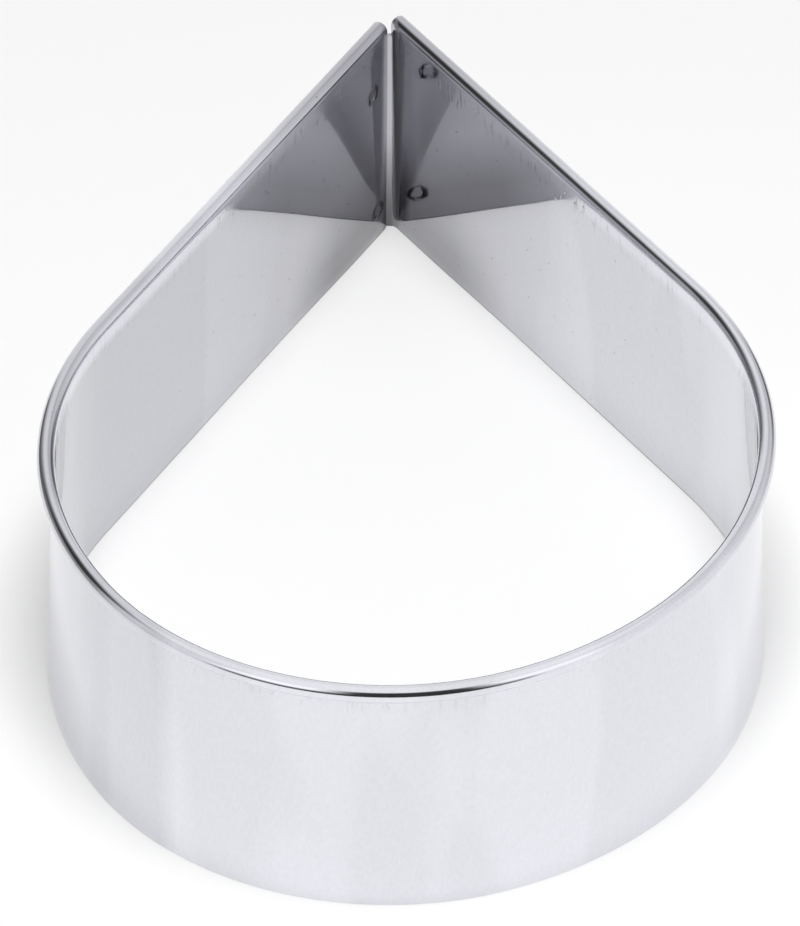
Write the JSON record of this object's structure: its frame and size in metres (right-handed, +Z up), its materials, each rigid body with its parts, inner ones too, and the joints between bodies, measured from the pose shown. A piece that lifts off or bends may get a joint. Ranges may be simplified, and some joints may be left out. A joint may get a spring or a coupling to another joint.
{
  "type": "cookie cutter",
  "caption": "Teardrop cookie cutter bent from a strip of bright steel, with a rolled hem along the top and a spot-welded lap at the tip.",
  "frame": {"origin": "middle of the outline, at the level of the cutting edge", "axes": "+Z up from the cutting edge to the rolled hem, +Y towards the tip of the drop, +X to the right seen from the round front"},
  "size_m": [0.0788, 0.1158, 0.03],
  "materials": {
    "strip_steel": "bright rolled stainless strip, almost mirror, with a fine lengthwise rolling grain",
    "weld_steel": "dull, slightly heat-darkened weld spot"
  },
  "bodies": {
    "root": {"formed_band": "strip_steel", "upper_spot_weld": "weld_steel", "lower_spot_weld": "weld_steel"}
  },
  "joints": []
}
